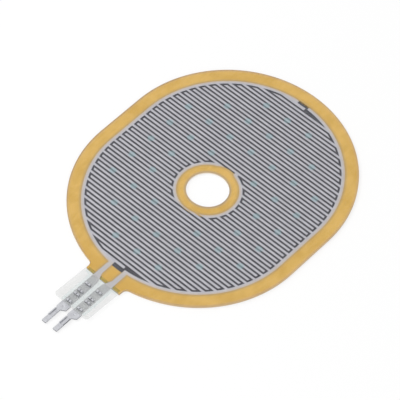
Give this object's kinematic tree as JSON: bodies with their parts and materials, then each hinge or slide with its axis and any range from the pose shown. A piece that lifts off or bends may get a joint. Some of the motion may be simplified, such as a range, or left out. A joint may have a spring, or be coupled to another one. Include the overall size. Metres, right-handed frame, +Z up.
{
  "type": "force sensing resistor",
  "caption": "Thin oblong force sensing resistor with a mounting hole, interlocking silver fingers over dark ink, an amber adhesive border and a short tail with crimped solder tabs",
  "frame": {"origin": "on the axis of the centre hole, at the rear face of the release liner", "axes": "+Z up through the layers towards the printed face, tail and solder tabs pointing to -X, +Y completes the right-handed frame"},
  "size_m": [0.0691, 0.045, 0.0009],
  "materials": {
    "clear_film": "clear smooth polyester film",
    "silver_print": "matte screen-printed silver ink",
    "carbon_print": "matte dark resistive ink",
    "dot_print": "cured insulating ink, teal grey",
    "tail_varnish": "clear insulating varnish with a faint green tint",
    "amber_adhesive": "amber pressure-sensitive spacer adhesive, satin",
    "clear_adhesive": "clear pressure-sensitive adhesive",
    "liner_paper": "amber silicone-coated liner, satin",
    "tinned_metal": "matte tin over stamped phosphor bronze"
  },
  "bodies": {
    "root": {"top_film": "clear_film", "upper_comb": "silver_print", "lower_comb": "silver_print", "tail_coating": "tail_varnish", "spacer_dots": "dot_print", "border_spacer": "amber_adhesive", "hole_spacer": "amber_adhesive", "resistive_ink": "carbon_print", "lower_film": "clear_film", "rear_adhesive": "clear_adhesive", "release_liner": "liner_paper", "upper_terminal": "tinned_metal", "lower_terminal": "tinned_metal"}
  },
  "joints": []
}
